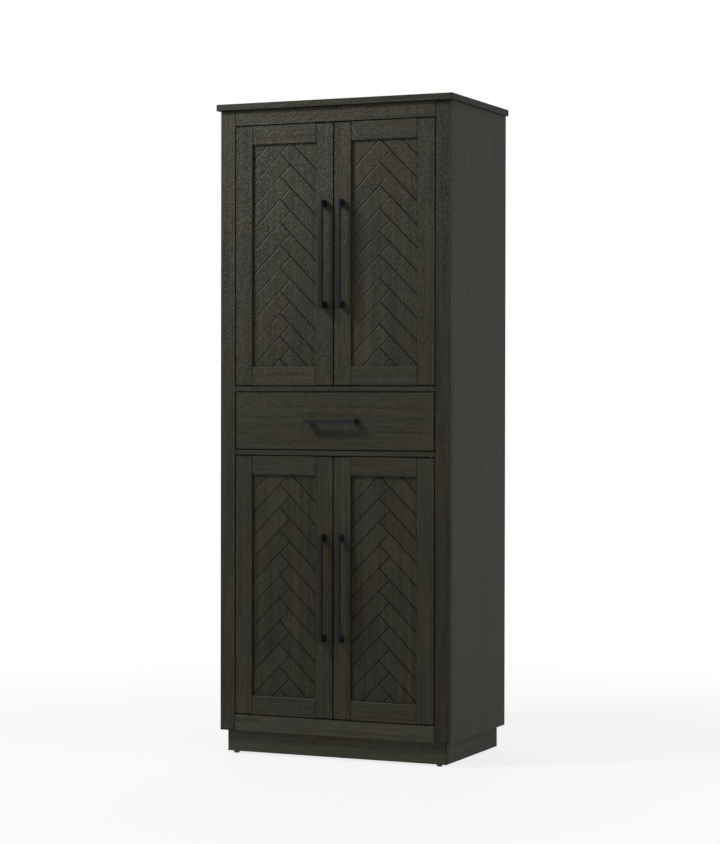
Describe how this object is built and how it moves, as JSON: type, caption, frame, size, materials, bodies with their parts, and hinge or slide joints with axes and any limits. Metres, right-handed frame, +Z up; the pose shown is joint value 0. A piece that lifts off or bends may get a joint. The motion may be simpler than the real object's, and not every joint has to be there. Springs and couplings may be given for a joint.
{
  "type": "pantry cabinet",
  "caption": "Tall free-standing pantry cabinet with inset herringbone doors above and below a central drawer, black bar pulls and a recessed plinth.",
  "frame": {"origin": "on the floor, in the middle of the bounding box's base", "axes": "+Z up, +X to the right seen from the front, front (doors and pulls) towards -Y"},
  "size_m": [0.714, 0.457, 1.829],
  "materials": {
    "case_veneer": "satin",
    "frame_wood": "satin",
    "door_wood": "satin",
    "herringbone_panel": "satin",
    "inside_board": "matte",
    "back_board": "matte",
    "drawer_box": "satin",
    "handle_metal": "satin black",
    "runner_steel": "zinc plated",
    "zinc_steel": "zinc plated",
    "magnet_steel": "nickel plated",
    "bush_brass": "satin",
    "glide_plastic": "moulded"
  },
  "bodies": {
    "cabinet": {"side_panel_left": "case_veneer", "side_panel_right": "case_veneer", "top_slab": "case_veneer", "bottom_deck": "inside_board", "lower_deck": "inside_board", "upper_deck": "inside_board", "back_panel": "back_board", "top_stretchers": "inside_board", "face_stile_left": "frame_wood", "face_stile_right": "frame_wood", "face_rail_bottom": "frame_wood", "face_rail_lower": "frame_wood", "face_rail_upper": "frame_wood", "face_rail_top": "frame_wood", "plinth_front": "frame_wood", "plinth_back": "frame_wood", "plinth_left": "frame_wood", "plinth_right": "frame_wood", "glides": "glide_plastic", "shelves": "inside_board", "shelf_supports": "zinc_steel", "pivot_plates": "zinc_steel", "pivot_pins": "zinc_steel", "door_stops": "inside_board", "catch_magnets": "magnet_steel", "runner_blocks": "inside_board", "runner_outers": "runner_steel"},
    "runner_middles": {"runner_middles": "runner_steel"},
    "drawer": {"drawer_front": "door_wood", "drawer_side_left": "drawer_box", "drawer_side_right": "drawer_box", "drawer_subfront": "drawer_box", "drawer_back": "drawer_box", "drawer_bottom": "drawer_box", "drawer_handle": "handle_metal", "runner_inners": "runner_steel"},
    "lower_left_door": {"lower_left_door_hinge_stile": "door_wood", "lower_left_door_pull_stile": "door_wood", "lower_left_door_rails": "door_wood", "lower_left_door_panel": "herringbone_panel", "lower_left_door_handle": "handle_metal", "lower_left_door_bushes": "bush_brass"},
    "lower_right_door": {"lower_right_door_hinge_stile": "door_wood", "lower_right_door_pull_stile": "door_wood", "lower_right_door_rails": "door_wood", "lower_right_door_panel": "herringbone_panel", "lower_right_door_handle": "handle_metal", "lower_right_door_bushes": "bush_brass"},
    "upper_left_door": {"upper_left_door_hinge_stile": "door_wood", "upper_left_door_pull_stile": "door_wood", "upper_left_door_rails": "door_wood", "upper_left_door_panel": "herringbone_panel", "upper_left_door_handle": "handle_metal", "upper_left_door_bushes": "bush_brass"},
    "upper_right_door": {"upper_right_door_hinge_stile": "door_wood", "upper_right_door_pull_stile": "door_wood", "upper_right_door_rails": "door_wood", "upper_right_door_panel": "herringbone_panel", "upper_right_door_handle": "handle_metal", "upper_right_door_bushes": "bush_brass"}
  },
  "joints": [
    {"name": "drawer_slide", "type": "slide", "parent": "cabinet", "child": "drawer", "axis": [0, -1, 0], "range_m": [0, 0.3]},
    {"name": "runner_slide", "type": "slide", "parent": "cabinet", "child": "runner_middles", "axis": [0, -1, 0], "range_m": [0, 0.15]},
    {"name": "lower_left_swing", "type": "hinge", "parent": "cabinet", "child": "lower_left_door", "pos_m": [-0.2895, -0.1895, 0.1145], "axis": [0, 0, -1], "range_deg": [0, 110]},
    {"name": "lower_right_swing", "type": "hinge", "parent": "cabinet", "child": "lower_right_door", "pos_m": [0.2895, -0.1895, 0.1145], "axis": [0, 0, 1], "range_deg": [0, 110]},
    {"name": "upper_left_swing", "type": "hinge", "parent": "cabinet", "child": "upper_left_door", "pos_m": [-0.2895, -0.1895, 1.0385], "axis": [0, 0, -1], "range_deg": [0, 110]},
    {"name": "upper_right_swing", "type": "hinge", "parent": "cabinet", "child": "upper_right_door", "pos_m": [0.2895, -0.1895, 1.0385], "axis": [0, 0, 1], "range_deg": [0, 110]}
  ],
  "couplings": [
    {"joint": "runner_slide", "follows": "drawer_slide", "ratio": 0.5}
  ]
}
